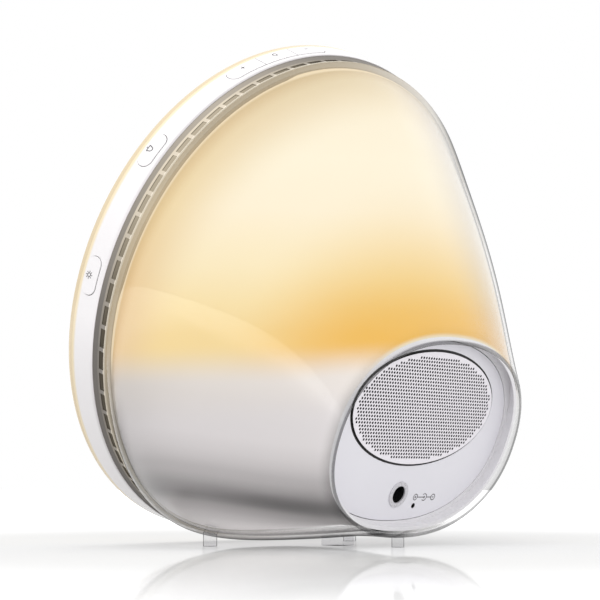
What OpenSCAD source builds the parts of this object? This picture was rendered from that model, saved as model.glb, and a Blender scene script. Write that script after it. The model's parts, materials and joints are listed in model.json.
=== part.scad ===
// Sunrise alarm clock: a round lit face in a white key ring, with a clear rear
// housing lofted from the ring to an oval speaker pod.
//
// Most pieces are drawn in the face frame: x to the side, y up in the plane of the
// leaning face, z forward out of the face. z = 0 is the rear edge of the key ring.
// A "depth" counts backward from there, so it is -z.

/* [Face] */
// Backward lean of the face, in degrees
lean = 22; // [16:1:28]
// Height of the clear shell's lowest point above the table
ground_gap = 1.3; // [0.8:0.1:5]
// Radius of the key ring at its front edge
ring_r = 95; // [94:0.5:98]
// How much smaller the ring is at its rear edge
ring_taper = 1.5; // [0.5:0.1:2.5]
// Depth of the key ring from front to rear
ring_depth = 9.5; // [9.5:0.1:11]
// Wall of the key ring
ring_wall = 2.2; // [1.6:0.1:2.6]

/* [Front lens] */
// Height of the lens's rim in front of the key ring
lens_rim = 3; // [2.4:0.1:4]
// Rise of the domed face above its rim
lens_dome = 3.5; // [2:0.1:6]
// Wall of the lens
lens_wall = 2; // [1.4:0.1:2.4]
// Radius of the lens's rounded edge
lens_edge_r = 2; // [1:0.1:2.3]

/* [Keys] */
// Height of a key across the band
key_h = 5.8; // [4.8:0.1:6]
// Distance from the band's rear edge to a key
key_rear = 2.6; // [2:0.1:2.8]
// Width of a single key
key_w = 13.4; // [9:0.1:15]
// Hairline gap behind a key
key_gap = 0.32; // [0.2:0.01:0.35]
// Closer gap in front of it
key_front_gap = 0.08; // [0.05:0.01:0.2]
// Travel of a key
key_travel = 0.8; // [0.4:0.1:0.9]
// How far a key stands proud of the band
key_proud = 0.15; // [0:0.05:0.3]
// Angle from the top at which the row of three keys starts
row_start = 10.1; // [6:0.1:14]
// Angle that each key of the row takes
row_pitch = 9.2; // [8:0.1:10]
// Angles from the top of the two single keys
single_angles = [61.6, 90.5]; // [50:0.1:100]

/* [Vent ring] */
// Number of slots around the ring
slot_count = 72; // [36:1:72]
// Share of the pitch that a slot takes
slot_share = 0.82; // [0.5:0.01:0.85]
// Height of a slot
slot_h = 2.4; // [1.4:0.1:2.4]
// Depth and inward step of the chamfer behind the key ring
vent_chamfer = 1.2; // [1:0.1:1.3]
// Depth at which the clear shell starts
shell_front = 5.5; // [5.2:0.1:5.8]

/* [Clear shell] */
// Wall of the clear shell
shell_wall = 1.8; // [1.6:0.1:2.6]
// How far the shell's curves start in from the ring's rear edge
shell_step = 1.5; // [1.4:0.1:2]
// Depth of the pod's rim
shell_rear = 81; // [78:0.5:90]
// Half width of the pod's rim
pod_half_w = 49.5; // [49:0.5:54]
// Half height of the pod's rim
pod_half_h = 36.2; // [36:0.1:40]
// Drop of the pod's centre below the face's centre
pod_drop = 25.2; // [24:0.1:26]
// How much the curves' second points pull in from the ring: half width, half height, drop
ring_pull = [3.8, 7.5, 2.6]; // [0:0.1:12]
// How much their third points stand out from the rim: half width, half height, rise
pod_flare = [10.7, 18.6, 11.2]; // [0:0.1:25]

/* [Reflector] */
// Gap between the clear shell and the reflector
reflector_gap = 0.3; // [0.3:0.1:1.2]
// Wall of the reflector
reflector_wall = 2; // [1.4:0.1:2.4]
// Gap between the vent ring's web and the reflector's front edge
rim_gap = 0.3; // [0.2:0.1:1.5]
// How far the edge stands back along the sides
rim_step = 0.6; // [0:0.1:2]
// Angles from the top between which it stands back
rim_step_span = [26, 92]; // [20:1:120]
// Lift of the reflector's underside off the shell
reflector_lift = 4; // [0:0.1:5]
// Depth of the rear edge of its skirt around the panel's recess
skirt_rear = 78.6; // [77:0.1:79.4]
// Wall of the skirt
skirt_wall = 1.4; // [1:0.1:1.8]

/* [Rear panel] */
// Depth of the panel's outer face
panel_depth = 73.6; // [72:0.1:75]
// Thickness of the panel
panel_t = 2.2; // [1.8:0.1:2.6]
// Half width of the panel
panel_half_w = 48; // [46.5:0.1:48.2]
// Half height of the panel
panel_half_h = 33.4; // [32.5:0.1:33.8]
// Drop of the panel's centre below the face's centre
panel_drop = 24.4; // [24:0.1:25]
// Width of the ledge that the panel rests on
ledge = 2; // [1.5:0.1:2.4]
// Gap around the panel
panel_gap = 0.25; // [0.1:0.05:0.4]

/* [Speaker] */
// Drop of the speaker's centre below the face's centre
speaker_drop = 15.8; // [15.4:0.1:16.2]
// Half width of the grille's pocket
grille_half_w = 38.6; // [36:0.1:39]
// Half height of the grille's pocket
grille_half_h = 21.6; // [20.8:0.1:21.8]
// Width of the dark gasket that shows around the grille
gasket_w = 0.9; // [0.5:0.1:1.2]
// Thickness of the perforated plate
grille_t = 0.8; // [0.5:0.1:1.2]
// How far the grille stands proud of the panel
grille_proud = 0.5; // [0:0.1:0.8]
// Hole spacing of the grille
grille_pitch = 4.6; // [4:0.1:8]
// Hole radius of the grille
grille_hole_r = 1.2; // [0.6:0.1:1.4]
// Radius of the speaker's frame
speaker_r = 20; // [18:0.1:20.2]
// Stroke of the cone each way
cone_stroke = 0.6; // [0.3:0.1:0.8]

/* [Power inlet] */
// Drop of the inlet below the face's centre
jack_drop = 48; // [47.5:0.1:48.5]
// Radius of the inlet's mouth
jack_r = 3.2; // [2.8:0.05:3.4]
// How much wider the socket is behind its mouth
socket_step = 0.6; // [0.4:0.1:0.8]
// Outer radius of the inlet's bright ring
bezel_r = 4.8; // [4.4:0.1:5.2]
// Radius of the centre pin
pin_r = 1.05; // [0.6:0.05:1.2]
// Sideways and downward place of the wire hole
wire_hole = [-10.4, -52.4]; // [-55:0.1:0]
// Radius of the wire hole
wire_hole_r = 1.0; // [0.4:0.1:1.2]

/* [Light] */
// Height of the light shelf above the table
shelf_height = 64.5; // [62:0.5:67]
// Thickness of the light shelf
shelf_t = 2; // [1.6:0.1:3]
// Size of the LED board
led_board_size = [84, 22]; // [20:1:90]
// LEDs along and across the board
led_grid = [8, 2]; // [2:1:10]

/* [Display] */
// Size of the display module
display_size = [78, 32]; // [60:1:84]
// Height of a digit
digit_h = 17; // [12:0.5:20]

/* [Feet] */
// Sideways place of the two front feet
foot_x = 38; // [34:0.5:42]
// Place of the front feet in front of the face's centre
foot_front = 5; // [0:0.5:10]
// Radius of a front foot
foot_r = 2.5; // [2:0.1:3.5]
// Place of the rear foot behind the face's centre
foot_rear = 50; // [46:0.5:54]
// Radius of the rear foot
rear_foot_r = 2.2; // [1.8:0.1:3]
// Width and length of the centre pad
pad_size = [8, 8.6]; // [6:0.1:16]
// Place of the centre pad behind the face's centre
pad_y = 22; // [17:0.5:24]

/* [Hidden] */

$fn = 64;
eps = 0.01;
fit = 0.05;        // running or assembly clearance of small round fits
seat_gap = 0.3;    // room left between soft-fitted or curved neighbours

// ---- derived sizes ----
ring_rear_r = ring_r - ring_taper;
lens_top = ring_depth + lens_rim + lens_dome;
dome_r = (pow(ring_r, 2) + pow(lens_dome, 2)) / (2 * lens_dome);
// height of the domed face at radius r
function dome_z(r) = lens_top - dome_r + sqrt(pow(dome_r, 2) - r * r);
panel_back = panel_depth - panel_t;
vent_r = ring_rear_r - vent_chamfer;
vent_wall = 1.6;
vent_floor = shell_front - 0.7;        // depth of the web that carries the shell
loft_r = ring_rear_r - shell_step;
lip_r = shell_wall / 2;                // radius of the rounded rim
reflector_inset = shell_wall + reflector_gap;
reflector_front = shell_front + rim_gap;
spigot_r = loft_r - reflector_inset - reflector_wall - 2.2;    // the reflector slides over the spigot
spigot_wall = 1.4;
spigot_l = 2.8;
flange_r = ring_rear_r - 13.5;         // inner radius of the vent ring's flange
flange_t = 1.4;
screw_circle = ring_rear_r - 6.5;
disc_r = screw_circle - 2.7;
disc_t = 1.5;
ring_screw_angles = [0, 115, 150, 210, 245];

// ---- the loft from the ring to the pod ----
shell_steps = 11;      // sections along the outside
section_points = 64;   // points around a section

// cubic Bezier through four values
function bezier(p, s) = p[0] * pow(1 - s, 3) + 3 * p[1] * s * pow(1 - s, 2)
    + 3 * p[2] * s * s * (1 - s) + p[3] * pow(s, 3);
// signed power, for the superellipse
function spow(x, k) = sign(x) * pow(abs(x), k);

half_w_curve = [loft_r, loft_r - ring_pull[0], pod_half_w + pod_flare[0], pod_half_w];
half_h_curve = [loft_r, loft_r - ring_pull[1], pod_half_h + pod_flare[1], pod_half_h];
drop_curve = [0, ring_pull[2], pod_drop - pod_flare[2], pod_drop];
squareness_above = [2, 1.32, 2.23, 2.23];
squareness_below = [2, 3.4, 3, 2.23];

// how far along the loft a depth lies, from 0 near the ring to 1 at the rim
loft_front = shell_front + 0.4;
function along(depth) = (depth - loft_front) / (shell_rear - loft_front);
// one section: half width, height above its centre, centre drop, depth, squareness above and below
// the centre, height below it
function section(depth, inset) = let (s = along(depth), half_h = bezier(half_h_curve, s) - inset)
    [bezier(half_w_curve, s) - inset, half_h, bezier(drop_curve, s), depth,
    bezier(squareness_above, s), bezier(squareness_below, s), half_h];
function panel_section(depth, inset) = [panel_half_w - inset, panel_half_h - inset, panel_drop, depth,
    squareness_above[3], squareness_below[3], panel_half_h - inset];
// the reflector's section, whose underside is lifted midway between the ring and the pod
function reflector_section(depth, inset) = let (s = section(depth, inset),
    lift = bezier([0, reflector_lift, reflector_lift, 0], along(depth)))
    [s[0], s[1], s[2], depth, s[4], s[5], s[6] - lift];

// a section's point at an angle from the top, and all of its points
function outline_point(sec, a) = let (above = cos(a) > 0, k = 2 / (above ? sec[4] : sec[5]))
    [sec[0] * spow(sin(a), k), (above ? sec[1] : sec[6]) * spow(cos(a), k) - sec[2]];
section_angles = [for (i = [0:section_points - 1]) 360 * i / section_points];
function outline(sec) = [for (a = section_angles) outline_point(sec, a)];
function row(sec) = [for (p = outline(sec)) [p[0], p[1], -sec[3]]];

// faces between neighbouring sections; a closed loft joins the last to the first
function loft_faces(rows, n, closed) = concat(
    [for (i = [0:rows - (closed ? 1 : 2)], j = [0:n - 1])
        let (a = i * n + j, b = i * n + (j + 1) % n, c = ((i + 1) % rows) * n) [b, a, c + (j + 1) % n]],
    [for (i = [0:rows - (closed ? 1 : 2)], j = [0:n - 1])
        let (a = i * n + j, c = ((i + 1) % rows) * n) [a, c + j, c + (j + 1) % n]],
    closed ? [] : [[for (j = [0:n - 1]) j], [for (j = [n - 1:-1:0]) (rows - 1) * n + j]]);

module loft(rows, closed = false) {
    polyhedron(points = [for (r = rows) each r], faces = loft_faces(len(rows), section_points, closed),
        convexity = 6);
}

function depths(from, to, steps) = [for (i = [0:steps]) from + (to - from) * i / steps];

// ---- where the part stands ----
// height of the face's centre, from the shell's lowest point
face_height = ground_gap + max([for (d = depths(shell_front, shell_rear, 40)) let (s = section(d, 0))
    (s[1] + s[2]) * cos(lean) + d * sin(lean)]);
// Y of the foremost and rearmost points, so that the origin lies midway between them
lens_corner_r = ring_r - lens_edge_r;
front_y = -(lens_corner_r * sin(lean) + (dome_z(lens_corner_r) - lens_edge_r) * cos(lean) + lens_edge_r);
rear_y = (pod_half_h - pod_drop - lip_r) * sin(lean) + (shell_rear - lip_r) * cos(lean) + lip_r;
centre_y = -(front_y + rear_y) / 2;

// ---- frames and small helpers ----
module face_frame() translate([0, centre_y, face_height]) rotate([90 - lean, 0, 0]) children();
module at_depth(d) translate([0, 0, -d]) children();
module at_angle(a) rotate([0, 0, -a]) children();
// extrudes an outline drawn in (tangent, z) along the radius, from r0 out to r1
module radial(r0, r1) translate([0, r1, 0]) rotate([90, 0, 0]) linear_extrude(r1 - r0) children();
module tube(r_out, r_in, h) difference() {
    cylinder(r = r_out, h = h);
    translate([0, 0, -eps]) cylinder(r = r_in, h = h + 2 * eps);
}
module oval(half_w, half_h, n = 72)
    polygon([for (i = [0:n - 1]) [half_w * sin(360 * i / n), half_h * cos(360 * i / n)]]);
module bar(size, z0, h) translate([-size[0] / 2, -size[1] / 2, z0]) cube([size[0], size[1], h]);

// a pan-head screw along -z: head above z = 0, shank below
module screw(shank_r, shank_l, head_r, head_h) {
    difference() {
        cylinder(r = head_r, h = head_h);
        for (a = [0, 90]) rotate([0, 0, a])
            translate([-head_r * 0.6, -head_h * 0.13, head_h * 0.5])
                cube([head_r * 1.2, head_h * 0.26, head_h]);
    }
    translate([0, 0, -shank_l]) cylinder(r = shank_r, h = shank_l + eps);
}

// ---- key ring ----
// radius of the band's outer face at height z
function band_r(z) = ring_rear_r + ring_taper * z / ring_depth;
// cross-section of the band between two offsets inward from its outer face
module band_section(from, to) polygon([[band_r(0) - from, 0], [band_r(ring_depth) - from, ring_depth],
    [band_r(ring_depth) - to, ring_depth], [band_r(0) - to, 0]]);

key_mid = key_rear + key_h / 2;
row_w = 2 * ring_r * sin(row_pitch / 2);
stem_r = 1.5;
switch_r = ring_rear_r - 11.5;         // radius of the switches' outer face
plunger_r = 1.1;
stem_start = switch_r + key_travel + 0.4;

// outline of a key in (tangent, z), with its chosen ends rounded
module key_outline(w, grow, round_left, round_right) {
    h = key_h + 2 * grow;
    r = h / 2;
    left = -w / 2 - grow + (round_left ? r : 0);
    right = w / 2 + grow - (round_right ? r : 0);
    translate([left, key_mid - r]) square([right - left, h]);
    if (round_left) translate([left, key_mid]) circle(r);
    if (round_right) translate([right, key_mid]) circle(r);
}

// angle, width and rounded ends of the five keys on one side
function key_spec(i) = i < 3
    ? [row_start + row_pitch * (i + 0.5), row_w, i == 0, i == 2]
    : [single_angles[i - 3], key_w, true, true];

// the openings for one side's keys, set back so that the gap is wider behind a key than in front;
// the middle one of the row is a little larger and runs into its neighbours
module key_windows() {
    grow = (key_gap + key_front_gap) / 2;
    join = 0.3;
    for (i = [0:4]) let (k = key_spec(i), inner = !k[2] && !k[3])
        at_angle(k[0]) radial(switch_r + 2, ring_r + 2) translate([0, grow - key_gap])
            key_outline(k[1] + (inner ? 2 * join : 0), grow + (inner ? 0.02 : 0), k[2], k[3]);
}

// the wedge that a key of the row keeps to, open past its rounded end
module row_wedge(open_left, open_right) {
    reach = 1.2 * ring_r;
    half = row_pitch / 2;
    left = open_left ? 3 * half : half;
    right = open_right ? 3 * half : half;
    translate([0, key_gap / 2 / sin(half), 0]) linear_extrude(ring_depth)
        polygon([[0, 0], [-reach * sin(left), reach * cos(left)], [reach * sin(right), reach * cos(right)]]);
}

module key(i) {
    k = key_spec(i);
    lip = 0.6;
    lip_rear = key_rear - lip;
    lip_front = min(key_rear + key_h + lip, ring_depth - lens_seat - seat_gap);
    at_angle(k[0]) {
        intersection() {
            rotate_extrude($fn = 180) band_section(-key_proud, ring_wall + 1.3);
            radial(switch_r, ring_r + 4) key_outline(k[1], 0, k[2], k[3]);
            if (i < 3) row_wedge(k[2], k[3]);
        }
        intersection() {
            rotate_extrude($fn = 180) band_section(ring_wall + seat_gap, ring_wall + 1.3);
            radial(switch_r, ring_r + 4) translate([1 - k[1] / 2, lip_rear])
                square([k[1] - 2, lip_front - lip_rear]);
        }
        translate([0, 0, key_mid]) rotate([-90, 0, 0]) {
            translate([0, 0, stem_start])
                cylinder(r = stem_r, h = band_r(key_mid) - ring_wall - lip - stem_start, $fn = 32);
            translate([0, 0, switch_r - 1]) cylinder(r = plunger_r, h = key_travel + 1.4 + eps, $fn = 32);
        }
    }
}

module control_ring() color("white") face_frame() {
    difference() {
        union() {
            rotate_extrude($fn = 180) band_section(0, ring_wall);
            for (a = ring_screw_angles) at_angle(a) {
                translate([0, screw_circle, 0]) cylinder(r = 2.2, h = 6.6, $fn = 32);
                translate([-0.8, screw_circle, 0])
                    cube([1.6, ring_rear_r - ring_wall / 2 - screw_circle, 6.6]);
            }
        }
        key_windows();
        mirror([1, 0, 0]) key_windows();
        for (a = ring_screw_angles) at_angle(a) translate([0, screw_circle, -eps])
            cylinder(r = 1.1 + fit, h = 5.6, $fn = 32);
    }
}

// ---- front lens ----
lens_seat = 0.5;                       // length of the spigot that centres the lens in the ring
lens_spigot_r = ring_r - ring_wall - 0.3;

module lens_profile() {
    polygon(concat(
        [[0, lens_top]],
        [for (i = [1:8]) let (r = lens_corner_r * i / 8) [r, dome_z(r)]],
        [for (a = [75:-15:0]) [lens_corner_r + lens_edge_r * cos(a),
            dome_z(lens_corner_r) - lens_edge_r + lens_edge_r * sin(a)]],
        [[ring_r, ring_depth], [lens_spigot_r, ring_depth], [lens_spigot_r, ring_depth - lens_seat],
         [lens_spigot_r - 1.6, ring_depth - lens_seat], [lens_spigot_r - 1.6, ring_depth]],
        [for (i = [8:-1:0]) let (r = (ring_r - ring_wall - 2) * i / 8) [r, dome_z(r) - lens_wall]]));
}

module front_lens() color([1, 0.93, 0.78]) face_frame() difference() {
    rotate_extrude($fn = 180) lens_profile();
    digit_prisms(lens_top - digit_inlay - lens_dome_drop, 4);
}

// ---- display ----
digit_inlay = 0.8;
lens_dome_drop = 0.6;
digit_w = digit_h * 0.55;
bar_w = digit_h * 0.13;
segments_of = [[1, 1, 1, 1, 1, 1, 0], [0, 1, 1, 0, 0, 0, 0], [1, 1, 0, 1, 1, 0, 1], [1, 1, 1, 1, 0, 0, 1],
    [0, 1, 1, 0, 0, 1, 1], [1, 0, 1, 1, 0, 1, 1], [1, 0, 1, 1, 1, 1, 1], [1, 1, 1, 0, 0, 0, 0],
    [1, 1, 1, 1, 1, 1, 1], [1, 1, 1, 1, 0, 1, 1]];
time_shown = [7, 0, 0];

// one seven-segment bar, pointed at both ends
module segment(l) polygon([[-l / 2, 0], [-l / 2 + bar_w / 2, bar_w / 2], [l / 2 - bar_w / 2, bar_w / 2],
    [l / 2, 0], [l / 2 - bar_w / 2, -bar_w / 2], [-l / 2 + bar_w / 2, -bar_w / 2]]);
module digit(n) {
    on = segments_of[n];
    half = digit_h / 4;
    gap = 0.5;
    if (on[0]) translate([0, 2 * half]) segment(digit_w - gap);
    if (on[1]) translate([digit_w / 2, half]) rotate(90) segment(2 * half - gap);
    if (on[2]) translate([digit_w / 2, -half]) rotate(90) segment(2 * half - gap);
    if (on[3]) translate([0, -2 * half]) segment(digit_w - gap);
    if (on[4]) translate([-digit_w / 2, -half]) rotate(90) segment(2 * half - gap);
    if (on[5]) translate([-digit_w / 2, half]) rotate(90) segment(2 * half - gap);
    if (on[6]) segment(digit_w - gap);
}
digit_pitch = digit_w * 1.55;
module digits_2d() {
    translate([-digit_pitch * 1.25, 0]) digit(time_shown[0]);
    translate([digit_pitch * 0.25, 0]) digit(time_shown[1]);
    translate([digit_pitch * 1.25, 0]) digit(time_shown[2]);
    for (s = [-1, 1]) translate([-digit_pitch * 0.5, s * digit_h / 5]) circle(r = bar_w / 2, $fn = 24);
}
module digit_prisms(z0, h) translate([0, 0, z0]) linear_extrude(h) digits_2d();

module display_digits() color("orange") face_frame() intersection() {
    rotate_extrude($fn = 180) lens_profile();
    digit_prisms(lens_top - digit_inlay - lens_dome_drop, 4);
}

mask_top = dome_z(display_size[0] / 2) - lens_wall - seat_gap;
board_t = 1.6;
module display_mask() color([0.12, 0.12, 0.13]) face_frame() difference() {
    bar(display_size, disc_t + board_t, mask_top - disc_t - board_t);
    digit_prisms(disc_t + board_t + 1, mask_top);
}
module display_board() color([0.1, 0.35, 0.2]) face_frame()
    bar([display_size[0] + 4, display_size[1] + 4], disc_t, board_t);
module diffuser_disc() color([0.96, 0.96, 0.94]) face_frame() cylinder(r = disc_r, h = disc_t, $fn = 128);

// ---- key boards and switches ----
key_board_r = [switch_r - 11, switch_r - 0.5];
key_board_t = 1.2;
key_board_span = [row_start - 4, single_angles[1] + 8];
switch_size = [6, 5, 2 * (key_mid - disc_t - key_board_t)];

module sector(r0, r1, a0, a1, h) linear_extrude(h) polygon(concat(
    [for (a = [a0:(a1 - a0) / 24:a1 + eps]) [r1 * sin(a), r1 * cos(a)]],
    [for (a = [a1:-(a1 - a0) / 24:a0 - eps]) [r0 * sin(a), r0 * cos(a)]]));
module key_board() translate([0, 0, disc_t])
    sector(key_board_r[0], key_board_r[1], key_board_span[0], key_board_span[1], key_board_t);
module key_switches() for (i = [0:4]) at_angle(key_spec(i)[0]) difference() {
    translate([-switch_size[0] / 2, switch_r - switch_size[1], disc_t + key_board_t]) cube(switch_size);
    translate([0, 0, key_mid]) rotate([-90, 0, 0]) translate([0, 0, switch_r - 1 - key_travel - 0.4])
        cylinder(r = plunger_r + 0.2, h = 4, $fn = 32);
}
module key_board_right() color([0.1, 0.35, 0.2]) face_frame() key_board();
module key_board_left() color([0.1, 0.35, 0.2]) face_frame() mirror([1, 0, 0]) key_board();
module key_switches_right() color([0.15, 0.15, 0.16]) face_frame() key_switches();
module key_switches_left() color([0.15, 0.15, 0.16]) face_frame() mirror([1, 0, 0]) key_switches();

// ---- vent ring ----
module vent_ring() color([0.72, 0.72, 0.73]) face_frame() difference() {
    rotate_extrude($fn = 180) polygon([[flange_r, 0], [ring_rear_r - 0.3, 0],
        [vent_r, -vent_chamfer - 0.3], [vent_r, -shell_front], [spigot_r, -shell_front],
        [spigot_r, -shell_front - spigot_l], [spigot_r - spigot_wall, -shell_front - spigot_l],
        [spigot_r - spigot_wall, -vent_floor], [vent_r - vent_wall, -vent_floor],
        [vent_r - vent_wall, -flange_t], [flange_r, -flange_t]]);
    slot_w = 2 * vent_r * sin(180 / slot_count * slot_share);
    for (i = [0:slot_count - 1]) rotate([0, 0, (i + 0.5) * 360 / slot_count])
        translate([vent_r - vent_wall - 0.5, -slot_w / 2, -vent_floor + 0.15])
            cube([vent_wall + 1, slot_w, slot_h]);
    for (a = ring_screw_angles) at_angle(a) translate([0, screw_circle, -flange_t - eps])
        cylinder(r = 1.3, h = flange_t + 2 * eps, $fn = 32);
}

module ring_screws() color("silver") face_frame() for (a = ring_screw_angles) at_angle(a)
    translate([0, screw_circle, -flange_t]) rotate([180, 0, 0]) screw(1.1, 6.4, 2, 1.4);

// ---- housings ----
// the outside up to the lip, and the rounded lip up to an angle around it
outside_rows = [for (d = depths(shell_front, shell_rear - lip_r, shell_steps)) row(section(d, 0))];
// the shell's inside and the reflector have sections at the same depths, from behind the reflector's
// stepped front edge to the panel, so that their walls stay parallel
rim_rest = reflector_front + rim_step + 0.6;
wall_depths = depths(panel_depth, rim_rest, shell_steps);
function lip_rows(to) = [for (a = [30:30:to])
    row(section(shell_rear - lip_r + lip_r * sin(a), lip_r - lip_r * cos(a)))];

module clear_shell() color([0.85, 0.9, 0.95, 0.4]) face_frame() loft(concat(outside_rows, lip_rows(150),
    [for (d = concat([shell_rear - lip_r, skirt_rear], wall_depths, [shell_front]))
        row(section(d, shell_wall))]),
    closed = true);

// the reflector's front edge has a stretch along each side that stands back
function rim_depth(a) = let (phi = min(a, 360 - a))
    reflector_front + (phi > rim_step_span[0] && phi < rim_step_span[1] ? rim_step : 0);
function rim_row(inset) = [for (a = section_angles)
    let (d = rim_depth(a), p = outline_point(reflector_section(d, inset), a)) [p[0], p[1], -d]];

module reflector() color([0.97, 0.97, 0.95]) face_frame() loft(concat(
    [rim_row(reflector_inset)],
    [for (i = [shell_steps:-1:0]) row(reflector_section(wall_depths[i], reflector_inset))],
    [row(reflector_section(skirt_rear, reflector_inset)),
     row(reflector_section(skirt_rear, reflector_inset + skirt_wall)),
     row(reflector_section(panel_depth, reflector_inset + skirt_wall)),
     row(panel_section(panel_depth, -panel_gap)), row(panel_section(panel_back, -panel_gap)),
     row(panel_section(panel_back, ledge)), row(panel_section(panel_back - reflector_wall, ledge))],
    [for (d = depths(panel_back - reflector_wall, rim_rest, shell_steps - 3))
        row(reflector_section(d, reflector_inset + reflector_wall))],
    [rim_row(reflector_inset + reflector_wall)]), closed = true);

// ---- rear panel ----
sound_hole_in = 4;
gasket_t = 0.4;
pocket_t = grille_t + gasket_t - grille_proud;
jack_y = -jack_drop;
module panel_outline() polygon(outline(panel_section(0, 0)));
module at_speaker() translate([0, -speaker_drop, 0]) children();
module at_jack() translate([0, jack_y, 0]) children();

module rear_panel() color([0.86, 0.87, 0.9]) face_frame() difference() {
    at_depth(panel_depth) linear_extrude(panel_t) panel_outline();
    at_depth(panel_depth + eps) at_speaker() linear_extrude(pocket_t + eps)
        oval(grille_half_w, grille_half_h);
    at_depth(panel_depth + eps) at_speaker() linear_extrude(panel_t + 2 * eps)
        oval(grille_half_w - sound_hole_in, grille_half_h - sound_hole_in);
    at_depth(panel_depth + eps) at_jack() cylinder(r = bezel_r - 0.8 + fit, h = panel_t + 2 * eps);
    at_depth(panel_depth + eps) translate([wire_hole[0], wire_hole[1], 0])
        cylinder(r = wire_hole_r, h = panel_t + 2 * eps, $fn = 24);
}

module grille_gasket() color([0.05, 0.05, 0.05]) face_frame()
    at_depth(panel_depth - pocket_t + gasket_t) at_speaker() difference() {
        linear_extrude(gasket_t) oval(grille_half_w - fit, grille_half_h - fit);
        translate([0, 0, -eps]) linear_extrude(1)
            oval(grille_half_w - sound_hole_in + 0.5, grille_half_h - sound_hole_in + 0.5);
    }

module speaker_grille() color([0.8, 0.8, 0.82]) face_frame()
    at_depth(panel_depth - pocket_t + gasket_t + grille_t) at_speaker() {
        half_w = grille_half_w - gasket_w;
        half_h = grille_half_h - gasket_w;
        rows = floor(half_h / grille_pitch);
        difference() {
            linear_extrude(grille_t) oval(half_w, half_h);
            for (j = [-rows:rows], i = [-10:10]) {
                x = (i + (abs(j) % 2) / 2) * grille_pitch;
                y = j * grille_pitch;
                if (pow(x / (half_w - 2.4), 2) + pow(y / (half_h - 2.4), 2) < 1)
                    translate([x, y, -eps]) cylinder(r = grille_hole_r, h = grille_t + 2 * eps, $fn = 6);
            }
        }
    }

// ---- power inlet ----
jack_l = 11;
jack_body = [9, 10.5];
board_top = jack_y - jack_body[1] / 2;
module jack_bezel() color([0.8, 0.81, 0.83]) face_frame() at_jack() difference() {
    union() {
        at_depth(panel_depth + 0.4) cylinder(r = bezel_r, h = 0.4);
        at_depth(panel_depth) cylinder(r = bezel_r - 0.8, h = panel_t);
    }
    at_depth(panel_depth + 1) cylinder(r = jack_r, h = panel_t + 2);
}
module dc_jack() color([0.06, 0.06, 0.07]) face_frame() at_jack() difference() {
    translate([-jack_body[0] / 2, -jack_body[1] / 2, -panel_back]) cube([jack_body[0], jack_body[1], jack_l]);
    at_depth(panel_back + eps) cylinder(r = jack_r + socket_step, h = jack_l - 1.5 + 2 * eps);
}
module dc_jack_pin() color([0.85, 0.86, 0.88]) face_frame() at_jack() {
    at_depth(panel_back - 2.5) cylinder(r = pin_r, h = jack_l - 1.5 - 2.5);
}

// ---- speaker ----
chamber_wall = 1.6;
chamber_half = [grille_half_w + 2.4, grille_half_h + 0.9];
chamber_l = 30;
chamber_front = panel_back - chamber_l;
board_half_w = 29;
board_span = [20, panel_back - 5.4];    // depths between which the main board lies
post_places = [for (x = [-24, 24], d = [chamber_front + 4, panel_back - 10]) [x, d]];
post_r = 2.4;

module speaker_chamber() color([0.2, 0.2, 0.21]) face_frame() difference() {
    union() {
        at_depth(panel_back) at_speaker() linear_extrude(chamber_l) oval(chamber_half[0], chamber_half[1]);
        for (p = post_places) let (under = chamber_half[1] * sqrt(1 - pow(p[0] / chamber_half[0], 2)))
            translate([p[0], board_top, -p[1]]) rotate([-90, 0, 0])
                cylinder(r = post_r, h = -speaker_drop - board_top - under + 1.2, $fn = 32);
    }
    at_depth(panel_back + eps) at_speaker() linear_extrude(chamber_l - chamber_wall)
        oval(chamber_half[0] - chamber_wall, chamber_half[1] - chamber_wall);
    for (p = post_places) translate([p[0], board_top - eps, -p[1]]) rotate([-90, 0, 0])
        cylinder(r = 1 + fit, h = 7, $fn = 24);
}
module main_board() color([0.1, 0.35, 0.2]) face_frame() difference() {
    translate([-board_half_w, board_top - board_t, -board_span[1]])
        cube([2 * board_half_w, board_t, board_span[1] - board_span[0]]);
    for (p = post_places) translate([p[0], board_top - board_t - eps, -p[1]]) rotate([-90, 0, 0])
        cylinder(r = 1.2, h = board_t + 2 * eps, $fn = 24);
}
module board_screws() color("silver") face_frame() for (p = post_places)
    translate([p[0], board_top - board_t, -p[1]]) rotate([90, 0, 0]) screw(1, 6.5, 1.9, 1.3);

// processor, coil, connector and three capacitors, standing on the board's upper face
module board_parts() color([0.25, 0.25, 0.27]) face_frame() translate([0, board_top, 0]) {
    translate([-6, 0, -36]) cube([12, 1.4, 12]);
    translate([12, 0, -36]) cube([9, 5, 9]);
    translate([-22, 0, -34]) cube([10, 7, 5]);
    for (x = [-26, -18, 24]) translate([x, 0, -24]) rotate([-90, 0, 0]) cylinder(r = 3, h = 9, $fn = 32);
}

flange_depth = panel_back;
basket_wall = 1.4;
speaker_screw_r = speaker_r - 1.7;
basket_r = speaker_r - 3.6;            // outer radius of the basket's wall
mouth_r = speaker_r - 5;               // inner radius of the basket's flange
cone_r = mouth_r - 2.1;
cone_t = 0.8;
coil_r = 5.6;
coil_l = 6.6;
magnet_r = 11.5;
cone_top = cone_stroke + 0.2;          // how far the cone's edge lies inside the flange
cone_base = cone_top + 7;              // the same of the cone's apex, where the coil starts
basket_l = cone_base + cone_stroke + 1.4;
magnet_top = basket_l + 1.2;
plate_t = 2;
magnet_l = cone_base + coil_l + cone_stroke + 3 - magnet_top;    // room for the coil's travel
// a height inside the speaker, counted inward from its flange
module inside_speaker(d) at_speaker() at_depth(flange_depth - d) children();

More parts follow.
